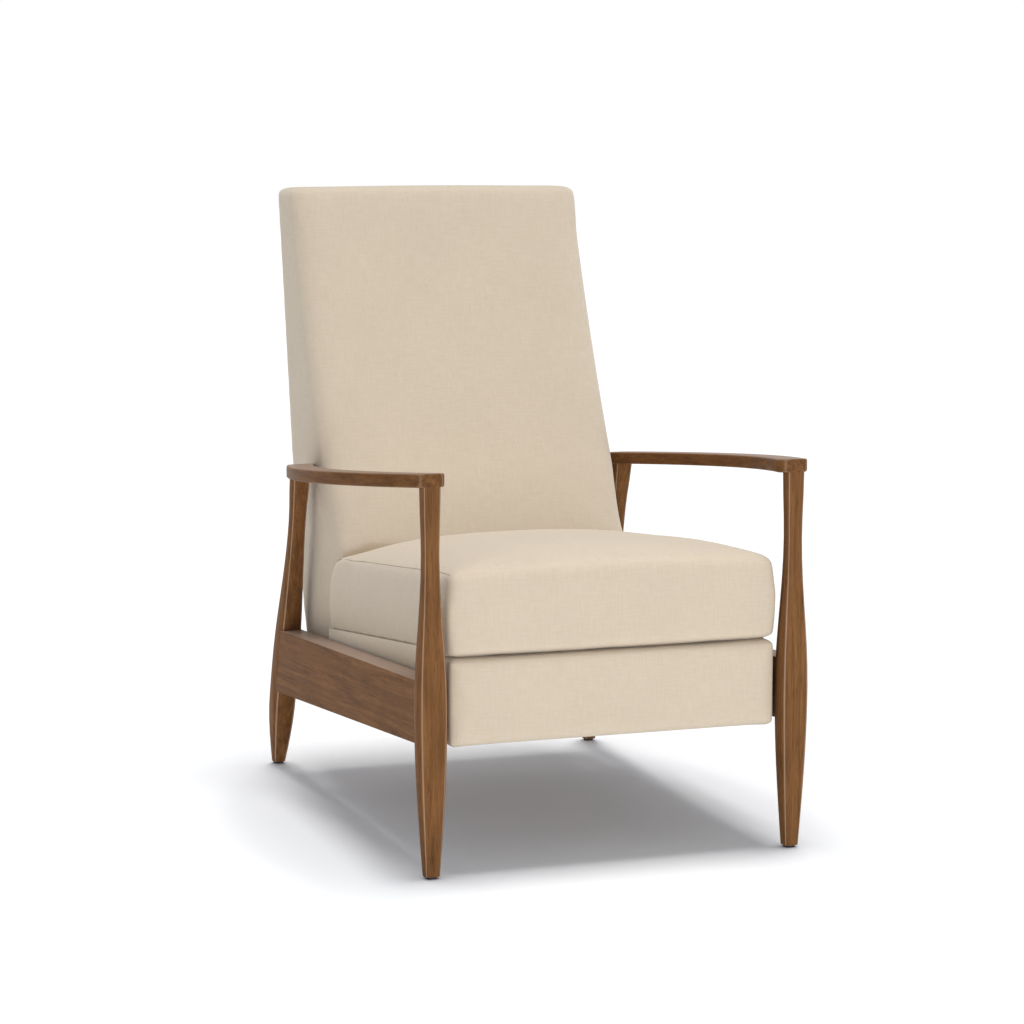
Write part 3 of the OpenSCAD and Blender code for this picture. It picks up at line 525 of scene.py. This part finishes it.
# %% Make and remesh
def to_object(bm, name, material):
    """Makes a bmesh an object at the origin with one material."""
    data = bpy.data.meshes.new(name)
    bm.to_mesh(data)
    bm.free()
    piece = bpy.data.objects.new(name, data)
    bpy.context.scene.collection.objects.link(piece)
    data.materials.append(material)
    data.polygons.foreach_set("use_smooth", [True] * len(data.polygons))
    return piece


def apply(piece):
    """Bakes the piece's modifiers into its mesh."""
    bpy.context.view_layer.update()
    evaluated = piece.evaluated_get(bpy.context.evaluated_depsgraph_get())
    baked = bpy.data.meshes.new_from_object(evaluated)
    piece.modifiers.clear()
    old = piece.data
    piece.data = baked
    baked.name = piece.name
    bpy.data.meshes.remove(old)


def even_quads(piece, voxel):
    """Remeshes the piece into quads of one size."""
    remesh = piece.modifiers.new("remesh", "REMESH")
    remesh.mode = "VOXEL"
    remesh.voxel_size = voxel
    remesh.use_smooth_shade = True
    apply(piece)


def finer(piece):
    """One level of subdivision, baked."""
    surface = piece.modifiers.new("finer", "SUBSURF")
    surface.levels = 1
    surface.render_levels = 1
    apply(piece)


# %% [markdown]
# Ironing smooths the steps that the remesh leaves, all over or only where the
# foam is soft. Then Blender's cloth blows the cover up from inside for 20
# frames. Unchecked it would become a balloon, so a cap on how far each point
# may move keeps the cover inside its own space.

# %% Iron and puff
SIM_FRAMES = 20


def iron(piece, rounds, share=None):
    """Smooths the piece. share gives how much, 0 to 1, at a place."""
    smooth = piece.modifiers.new("iron", "SMOOTH")
    smooth.iterations = rounds
    smooth.factor = 0.5
    if share:
        group = piece.vertex_groups.new(name="ironed")
        for vertex in piece.data.vertices:
            group.add([vertex.index], share(vertex.co), "REPLACE")
        smooth.vertex_group = "ironed"
    apply(piece)
    piece.vertex_groups.clear()


def puff(piece, cap, start):
    """Blows the piece up from start inside its shape, moving no point further than cap."""
    rest = [v.co.copy() for v in piece.data.vertices]
    for vertex, normal in zip(piece.data.vertices, [v.normal.copy() for v in piece.data.vertices]):
        vertex.co -= normal * start
    cloth = piece.modifiers.new("cloth", "CLOTH")
    cloth.settings.quality = 5
    cloth.settings.use_pressure = True
    cloth.settings.uniform_pressure_force = 4.0
    cloth.settings.effector_weights.gravity = 0
    for step in range(1, SIM_FRAMES + 1):
        bpy.context.scene.frame_set(step)
    blown = piece.evaluated_get(bpy.context.evaluated_depsgraph_get())
    moved = [v.co.copy() for v in blown.data.vertices]
    piece.modifiers.remove(cloth)
    bpy.context.scene.frame_set(1)
    for vertex, target, base in zip(piece.data.vertices, moved, rest):
        step = target - base
        vertex.co = base + step * min(1.0, cap / max(step.length, 1e-9))


# %% [markdown]
# The weave needs a map. Unwrapping would bend the threads, so each face is
# laid flat along the axis that it faces most, as a tailor cuts a boxed
# cushion from straight panels. The finished piece stands for its CAD solids
# and rides on their body.


# %% Lay the cloth and place it
def lay_cloth(piece):
    """Lays the weave's map flat on each side of the piece, in metres."""
    data = piece.data
    layer = data.uv_layers.new(name="cloth")
    for face in data.polygons:
        size = [abs(c) for c in face.normal]
        axis = size.index(max(size))
        u, v = ((1, 2), (0, 2), (0, 1))[axis]
        for corner in face.loop_indices:
            place = data.vertices[data.loops[corner].vertex_index].co
            layer.data[corner].uv = (place[u], place[v])


def place_soft(piece, body, padding, *cad_names):
    """Lays the weave on a soft piece that stands for CAD nodes, and hangs it on its body."""
    lay_cloth(piece)
    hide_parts(*cad_names)
    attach(piece, body)
    print(piece.name, len(piece.data.polygons), "faces")


# %% [markdown]
# ## Back
# The back is one tall padded body with a tight cover. Its front face leans
# back from the seat in a slow curve, and its rear face rises almost straight.
# Both are formulas of the height, which follow the CAD solid closely. Low
# down the front follows the cushion's rounded rear edge, 2 mm off.

# %% Back outline
BACK_HALF = 0.265
BACK_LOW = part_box("back_cushion")[0][2]
BACK_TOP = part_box("back_cushion")[1][2]
BACK_FRONT = 0.642
BACK_REAR = 0.865
TOP_THICK = 0.105
REAR_BEND = 0.372
REAR_TUCK = 0.027
REAR_SLOPE = math.tan(math.radians(9.4))
FRONT_SLOPE = math.tan(math.radians(30))
SEAT_SLOPE = math.tan(math.radians(5.6))
SEAM_HIGH = 0.467
SEAM_FROM = 0.022
SEAT_ROUND = 0.070
LIP_ROUND = 0.072
ROUND_DEPTH = 0.570
LIP_HEIGHT = SEAM_HIGH - SEAT_SLOPE * (ROUND_DEPTH - SEAM_FROM)
ROUND_HEIGHT = LIP_HEIGHT - SEAT_ROUND
LIP_DEPTH = ROUND_DEPTH + math.sqrt(LIP_ROUND**2 - SEAT_ROUND**2)


def rear_depth(height):
    """Depth of the back's rear face behind the front legs."""
    if height > REAR_BEND:
        return BACK_REAR + REAR_SLOPE * (height - REAR_BEND)
    return BACK_REAR - REAR_TUCK * (1 - (height - BACK_LOW) / (REAR_BEND - BACK_LOW)) ** 2


SPAN = BACK_TOP - LIP_HEIGHT
BEND = (FRONT_SLOPE * SPAN - (rear_depth(BACK_TOP) - TOP_THICK - LIP_DEPTH)) / SPAN**2


def front_depth(height):
    """Depth of the back's front face behind the front legs."""
    if height <= ROUND_HEIGHT:
        return BACK_FRONT
    if height <= LIP_HEIGHT:
        return ROUND_DEPTH + math.sqrt(max(0, LIP_ROUND**2 - (height - ROUND_HEIGHT) ** 2))
    rise = height - LIP_HEIGHT
    return LIP_DEPTH + FRONT_SLOPE * rise - BEND * rise**2


print("back from", round(BACK_LOW, 3), "to", round(BACK_TOP, 3))

# %% [markdown]
# The back could be carved from a block, but its section changes all the way
# up. So it is lofted: level rings, each a rectangle whose front corners are
# rounded by soft foam and whose rear corners by the frame, are bridged one to
# the next.


# %% Rings and loft
def fade(value, start, end):
    """A smooth step: 0 at start, 1 at end and beyond."""
    part = min(1.0, max(0.0, (value - start) / (end - start)))
    return part * part * (3 - 2 * part)


def section(height, half, front, rear, front_round, rear_round, steps=7):
    """A level ring: a rectangle with rounded corners."""
    ring = []
    corners = (
        (1, front, front_round, -90),
        (1, rear, rear_round, 0),
        (-1, rear, rear_round, 90),
        (-1, front, front_round, 180),
    )
    for side, edge, radius, start in corners:
        inward = radius if edge == front else -radius
        for i in range(steps + 1):
            turn = math.radians(start + 90 * i / steps)
            x = side * (half - radius) + radius * math.cos(turn)
            ring.append((x, LEG_LINE + edge + inward + radius * math.sin(turn), height))
    return ring


def loft(rings):
    """A closed bmesh through rings of equal count, with flat ends."""
    bm = bmesh.new()
    loops = []
    for ring in rings:
        points = [bm.verts.new(point) for point in ring]
        loops.append([bm.edges.new(pair) for pair in zip(points, points[1:] + points[:1])])
    for below, above in zip(loops, loops[1:]):
        bmesh.ops.bridge_loops(bm, edges=below + above)
    for end in (loops[0], loops[-1]):
        bmesh.ops.contextual_create(bm, geom=end)
    bmesh.ops.recalc_face_normals(bm, faces=bm.faces)
    return bm


# %% [markdown]
# The sides widen a little above the arms and the front corners grow softer
# there, as the photograph shows. The last rings shrink, which rounds the top
# edge, and the top panel is slightly crowned. Below the CAD solid the cover
# goes on as a skirt that hides the hinge.

# %% Back
SKIRT = 0.228
WIDER = 0.0075
TOP_ROUND = 0.007
REAR_ROUND = 0.010
SOFT_LOW = 0.010
SOFT_HIGH = 0.036
SOFT_TOP = 0.024
# Heights between which the corners soften and tighten, and the sides widen
SOFTENS, TIGHTENS, WIDENS = (0.36, 0.48), (0.94, 1.01), (0.42, 0.56)
RISES, TOP_STEPS = 56, 5

rings = []
for i in range(RISES + 1):
    height = SKIRT + (BACK_TOP - TOP_ROUND - SKIRT) * i / RISES
    soft = SOFT_LOW + (SOFT_HIGH - SOFT_LOW) * fade(height, *SOFTENS)
    soft -= (SOFT_HIGH - SOFT_TOP) * fade(height, *TIGHTENS)
    half = BACK_HALF + WIDER * fade(height, *WIDENS)
    rings.append(section(height, half, front_depth(height), rear_depth(height), soft, REAR_ROUND))
for i in range(1, TOP_STEPS + 1):
    turn = math.radians(90 * i / TOP_STEPS)
    height = BACK_TOP - TOP_ROUND * (1 - math.sin(turn))
    inset = TOP_ROUND * (1 - math.cos(turn))
    faces = (front_depth(height) + inset, rear_depth(height) - inset)
    rings.append(section(height, BACK_HALF + WIDER - inset, *faces, SOFT_TOP - inset, REAR_ROUND))
back = to_object(loft(rings), "linen_back", cream_linen)
print("back", len(rings), "rings of", len(rings[0]), "points")

# %% Back cover
CROWN_EDGE, CROWN_MIDDLE = 0.0015, 0.0030

even_quads(back, voxel=0.0082)
iron(back, 8)
puff(back, cap=0.003, start=0.0015)
iron(back, 2)
for vertex in back.data.vertices:
    across = vertex.co.x / BACK_HALF
    crown = CROWN_EDGE + CROWN_MIDDLE * (1 - across**2)
    vertex.co.z += crown * fade(vertex.co.z, BACK_TOP - 0.03, BACK_TOP - 0.005)
finer(back)
print("back cover", len(back.data.polygons), "faces")

# %% [markdown]
# The seat's side plates reach into the two lower front corners of the back,
# where the hinge is, and the seat box passes between them. So the cloth ends
# above the seat there: pockets are cut in the corners, and between them the
# skirt below the CAD back is cut away. Each box is cut in a pass of its own,
# because cutters that touch each other upset the boolean.

# %% Hinge pockets
POCKET_NEAR, POCKET_FAR = 0.2187, 0.2608
POCKET_FRONT, POCKET_REAR = 0.600, 0.713
HINGE_TOP = 0.313
SKIRT_HALF = 0.2540
SKIRT_FRONT, SKIRT_REAR = 0.590, 0.785
UNDER = SKIRT - 0.02


def cut_box(piece, low, high):
    """Cuts the box between two far corners out of the piece."""
    low, high = Vector(low), Vector(high)
    bm = bmesh.new()
    placed = Matrix.Translation((low + high) / 2) @ Matrix.Diagonal((*(high - low), 1))
    bmesh.ops.create_cube(bm, size=1, matrix=placed)
    cutter = to_object(bm, "cutter", cream_linen)
    cut = piece.modifiers.new("cut", "BOOLEAN")
    cut.operation = "DIFFERENCE"
    cut.solver = "EXACT"
    cut.object = cutter
    apply(piece)
    bpy.data.objects.remove(cutter)


for left, right in ((POCKET_NEAR, POCKET_FAR), (-POCKET_FAR, -POCKET_NEAR)):
    cut_box(back, (left, LEG_LINE + POCKET_FRONT, UNDER), (right, LEG_LINE + POCKET_REAR, HINGE_TOP))
cut_box(back, (-SKIRT_HALF, LEG_LINE + SKIRT_FRONT, UNDER), (SKIRT_HALF, LEG_LINE + SKIRT_REAR, BACK_LOW))
place_soft(back, "back", 0.9, "back_cushion", "outside_back")

# %% [markdown]
# ## Seat cushion
# The cushion is boxed: a side band all round, and a crowned top panel sewn to
# it. It could be lofted as the back is, but its CAD solid already has this
# form, so a welded copy of it is the start. Soft foam rounds the top edges
# much more than the lower ones, which a graded ironing gives.

# %% Cushion outline
low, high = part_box("seat_cushion")
SEAT_HALF = (high[0] - low[0]) / 2
SEAT_FRONT = low[1]
SEAT_BOTTOM = 0.337
# Distances over which the soft edge ends: below the seam, inland, and towards the rear
SOFT_BELOW, SOFT_INLAND, SOFT_REAR = (0.060, 0.030), (0.035, 0.075), (0.50, 0.56)


def copy_of(node_name, name, material):
    """A merged copy of a CAD node's mesh."""
    bm = bmesh.new()
    bm.from_mesh(nodes[node_name].data)
    bmesh.ops.remove_doubles(bm, verts=bm.verts, dist=WELD)
    return to_object(bm, name, material)


def seam_height(depth):
    """Height of the side seam at a depth behind the front legs."""
    return SEAM_HIGH - SEAT_SLOPE * (depth - SEAM_FROM)


def edge_share(place):
    """How soft the foam is: 1 near the top edges, 0 low down and in the middle."""
    depth = place.y - LEG_LINE
    top = fade(place.z, seam_height(depth) - SOFT_BELOW[0], seam_height(depth) - SOFT_BELOW[1])
    inland = min(SEAT_HALF - abs(place.x), place.y - SEAT_FRONT)
    return top * (1 - fade(inland, *SOFT_INLAND)) * (1 - fade(depth, *SOFT_REAR))


print("cushion", round(2 * SEAT_HALF, 3), "wide")

# %% [markdown]
# After the cloth has blown it up, the cushion is adjusted, as an upholsterer
# pats it into place: the foam swells towards the rear of the seat, the cover
# stays just clear of the back, the front edge droops a little, and the front
# panel comes forward over the footrest.

# %% Seat cushion
HILL = 0.002
HILL_RISES, HILL_FALLS = (0.20, 0.46), (0.52, 0.60)
BACK_CLEAR = 0.0015
LIP_DROP = 0.0045
SIDE_OUT = 0.0015
FORWARD = 0.009
# Distances from the front face, and from the bottom, over which these moves end
LIP_ENDS, FORWARD_ENDS, LOW_ENDS = (0.045, 0.055), (0.02, 0.09), (0.01, 0.05)

cushion = copy_of("seat_cushion", "linen_seat_cushion", cream_linen)
even_quads(cushion, voxel=0.0068)
iron(cushion, 2)
iron(cushion, 26, edge_share)
puff(cushion, cap=0.004, start=0.002)
iron(cushion, 2)
for vertex in cushion.data.vertices:
    depth = vertex.co.y - LEG_LINE
    top = fade(vertex.co.z, seam_height(depth) - 0.02, seam_height(depth))
    across = vertex.co.x / SEAT_HALF
    hill = fade(depth, *HILL_RISES) * (1 - fade(depth, *HILL_FALLS))
    vertex.co.z += HILL * top * (1 - across**8) * hill
    if vertex.co.z > LIP_HEIGHT - 0.02:
        vertex.co.y = min(vertex.co.y, LEG_LINE + front_depth(vertex.co.z) - BACK_CLEAR)
    low_down = 1 - fade(vertex.co.z, SEAT_BOTTOM + LOW_ENDS[0], SEAT_BOTTOM + LOW_ENDS[1])
    in_front = 1 - fade(vertex.co.y, SEAT_FRONT + LIP_ENDS[0], SEAT_FRONT + LIP_ENDS[1])
    vertex.co.z -= LIP_DROP * low_down * in_front
    vertex.co.x *= 1 + SIDE_OUT / SEAT_HALF
    share = 1 - fade(vertex.co.y, SEAT_FRONT + FORWARD_ENDS[0], SEAT_FRONT + FORWARD_ENDS[1])
    vertex.co.y -= FORWARD * share
finer(cushion)
print("cushion", len(cushion.data.polygons), "faces")

# %% [markdown]
# The seams run along both sides of the top panel and down the rear corners.
# The remesh would erase anything narrower than its quads, so they come after
# it. The cover is drawn in along the seam, and a thread lies in the groove,
# laid on the nearest points of the cover. Down the rear corners the thread is
# thicker, and it also paints the shadow in the crease between the cushion and
# the back.


# %% Sewing
def groove(piece, path, width, depth):
    """Pulls the cover in along a sewn line."""
    line = KDTree(len(path))
    for i, point in enumerate(path):
        line.insert(point, i)
    line.balance()
    data = piece.data
    normals = [v.normal.copy() for v in data.vertices]
    for vertex, normal in zip(data.vertices, normals):
        near = line.find(vertex.co)[2]
        if near < width:
            vertex.co -= normal * depth * (0.5 + 0.5 * math.cos(math.pi * near / width))


def sewn_line(name, piece, path, radius, material):
    """A thread that lies on the piece along the path."""
    skin = BVHTree.FromObject(piece, bpy.context.evaluated_depsgraph_get())
    curve = bpy.data.curves.new(name, "CURVE")
    curve.dimensions = "3D"
    curve.bevel_depth = radius
    curve.bevel_resolution = 1
    spline = curve.splines.new("POLY")
    spline.points.add(len(path) - 1)
    for point, place in zip(spline.points, path):
        point.co = (*skin.find_nearest(Vector(place))[0], 1.0)
    temporary = bpy.data.objects.new(name, curve)
    bpy.context.scene.collection.objects.link(temporary)
    bpy.context.view_layer.update()
    data = bpy.data.meshes.new_from_object(temporary.evaluated_get(bpy.context.evaluated_depsgraph_get()))
    bpy.data.objects.remove(temporary)
    line = bpy.data.objects.new(name, data)
    bpy.context.scene.collection.objects.link(line)
    data.materials.clear()
    data.materials.append(material)
    lay_cloth(line)
    return line


# %% Seat seams
SEAM_INSET = 0.006
SEAM_RISE = 0.003
SEAM_START, SEAM_LENGTH = 0.010, 0.55
SEAM_STEPS, CORNER_STEPS, DOWN_STEPS, DOWN_STEP = 70, 12, 8, 0.008
GROOVE_WIDE, GROOVE_DEEP = 0.009, 0.0012
# The rear thread is thicker, because it also paints the shadow in the crease against the back
TOP_THREAD, REAR_SEAM_AND_SHADOW = 0.0004, 0.0012

side_depths = [SEAM_START + SEAM_LENGTH * i / SEAM_STEPS for i in range(SEAM_STEPS + 1)]
corner_turns = [math.radians(90 * i / CORNER_STEPS) for i in range(1, CORNER_STEPS + 1)]
corner = [
    (ROUND_DEPTH + SEAT_ROUND * math.sin(t), ROUND_HEIGHT + SEAT_ROUND * math.cos(t)) for t in corner_turns
]
corner += [(ROUND_DEPTH + SEAT_ROUND, ROUND_HEIGHT - DOWN_STEP * i) for i in range(1, DOWN_STEPS + 1)]
for side, sign in (("left", 1), ("right", -1)):
    inset = sign * (SEAT_HALF - SEAM_INSET)
    along = [(inset, LEG_LINE + d, seam_height(d) + SEAM_RISE) for d in side_depths]
    down = [(inset, LEG_LINE + depth, height) for depth, height in corner]
    groove(cushion, along + down, GROOVE_WIDE, GROOVE_DEEP)
    for part, path, radius in (("top", along, TOP_THREAD), ("rear", down, REAR_SEAM_AND_SHADOW)):
        thread = sewn_line(f"seat_{part}_seam_{side}", cushion, path, radius, seam_and_crease_shadow_thread)
        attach(thread, "seat")
        print(thread.name, len(path), "points")
place_soft(cushion, "seat", 0.85, "seat_cushion")

# %% [markdown]
# ## Footrest panel
# The footrest is a board wrapped in thin padding. When closed it hangs under
# the seat's front edge as a plain panel with softened edges, so a bevelled
# box is enough to blow up. It hides the board's upper edge from the front.

# %% Footrest panel
PANEL_LOWER = 0.005
PANEL_GAP = 0.001
PANEL_EDGE = 0.007

low, high = (Vector(corner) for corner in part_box("footrest_pad"))
low.z -= PANEL_LOWER
low.y -= FORWARD
high.z = SEAT_BOTTOM - PANEL_GAP
bm = bmesh.new()
placed = Matrix.Translation((low + high) / 2) @ Matrix.Diagonal((*(high - low), 1))
bmesh.ops.create_cube(bm, size=1, matrix=placed)
bmesh.ops.bevel(
    bm,
    geom=bm.edges[:],
    offset=PANEL_EDGE,
    offset_type="OFFSET",
    affect="EDGES",
    segments=3,
    profile=0.5,
    material=-1,
)
panel = to_object(bm, "linen_footrest", cream_linen)
even_quads(panel, voxel=0.006)
iron(panel, 1)
puff(panel, cap=0.0025, start=0.001)
iron(panel, 1)
finer(panel)
place_soft(panel, "footrest", 0.7, "footrest_pad")

# %% [markdown]
# ## Seat side panels
# Two cloth-covered panels close the sides of the seat box between the
# cushion and the rail. They are thin and firm, so they aren't blown up: a
# copy of the CAD panels gets rounded edges. Its top edges tuck in under the
# cushion, and it stands a hair further out.

# %% Seat side panels
# Only the panels' top edges are less than this far below the seam
TOP_BELOW_SEAM = 0.165
TUCKED_UP = 0.007
OUTER_FACE = 0.273
STANDS_OUT = 0.0008
SIDE_EDGE = 0.0012

sides = copy_of("seat_side_panels", "linen_seat_sides", cream_linen)
bm = bmesh.new()
bm.from_mesh(sides.data)
bmesh.ops.dissolve_limit(bm, angle_limit=0.01, verts=bm.verts, edges=bm.edges)
for vert in bm.verts:
    if vert.co.z > seam_height(vert.co.y - LEG_LINE) - TOP_BELOW_SEAM:
        vert.co.z += TUCKED_UP
    if abs(vert.co.x) > OUTER_FACE:
        vert.co.x += math.copysign(STANDS_OUT, vert.co.x)
bmesh.ops.bevel(
    bm,
    geom=bm.edges[:],
    offset=SIDE_EDGE,
    offset_type="OFFSET",
    affect="EDGES",
    segments=2,
    profile=0.5,
    material=-1,
)
bm.to_mesh(sides.data)
bm.free()
place_soft(sides, "seat", 0.3, "seat_side_panels")

# %% [markdown]
# ## Rear legs
# The rear leg swells again under the arm more than its CAD solid does. A new
# leg could be lofted, but only the widths differ: each point of a copy moves
# away from the leg's own centre line by the ratio of the real width to the
# CAD width at its height.

# %% Rear leg form
LEG_TOP = 0.5384
LEG_CENTRE = 0.300
FOOT_DEPTH, LEG_LEAN, LEG_SWAY = 0.883, 0.161, 0.005
BELLY_HEIGHT = 0.185
CAD_WAIST_SPAN = 0.290
NECK_START, NECK_SPAN, WAIST_HEIGHT = 0.200, 0.258, 0.458
# Widths at the belly, the CAD waist, the real waist and the head
ACROSS = (0.040, 0.023, 0.027, 0.032)
FORE_AND_AFT = (0.055, 0.025, 0.029, 0.034)


def ease(part):
    """A slow start and end from 0 to 1, half a wave long, as on the CAD leg."""
    return (1 - math.cos(math.pi * min(1.0, max(0.0, part)))) / 2


def leg_centre(height):
    """Depth of the rear leg's centre line, which leans and sways."""
    part = height / LEG_TOP
    return LEG_LINE + FOOT_DEPTH - LEG_LEAN * part + LEG_SWAY * math.sin(2 * math.pi * part)


def swell(height, belly, old, waist, head):
    """Ratio of the leg's real width to its CAD width at a height."""
    was = belly + (old - belly) * ease((height - BELLY_HEIGHT) / CAD_WAIST_SPAN)
    now = belly + (waist - belly) * ease((height - NECK_START) / NECK_SPAN)
    if height > WAIST_HEIGHT:
        now = waist + (head - waist) * ease((height - WAIST_HEIGHT) / (LEG_TOP - WAIST_HEIGHT))
    return now / was


print("head wider by", round(swell(LEG_TOP, *ACROSS), 2))

# %% Rear legs
for side, sign in (("left", 1), ("right", -1)):
    leg = copy_of(f"rear_leg_{side}", f"walnut_rear_leg_{side}", walnut_upright)
    for vertex in leg.data.vertices:
        x, y, z = vertex.co
        if z > BELLY_HEIGHT:
            middle = sign * LEG_CENTRE
            vertex.co.x = middle + (x - middle) * swell(z, *ACROSS)
            vertex.co.y = leg_centre(z) + (y - leg_centre(z)) * swell(z, *FORE_AND_AFT)
    shade_edges(leg)
    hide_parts(f"rear_leg_{side}")
    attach(leg, "frame")
    print(leg.name, len(leg.data.vertices), "points")

# %% [markdown]
# ## Finish
# The box round everything that renders, with the floor left out, is printed.
# The upholstery may stand only a little proud of the CAD model.

# %% Sizes and finish
low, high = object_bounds()
print("visual box", [round(v, 4) for v in low], [round(v, 4) for v in high])
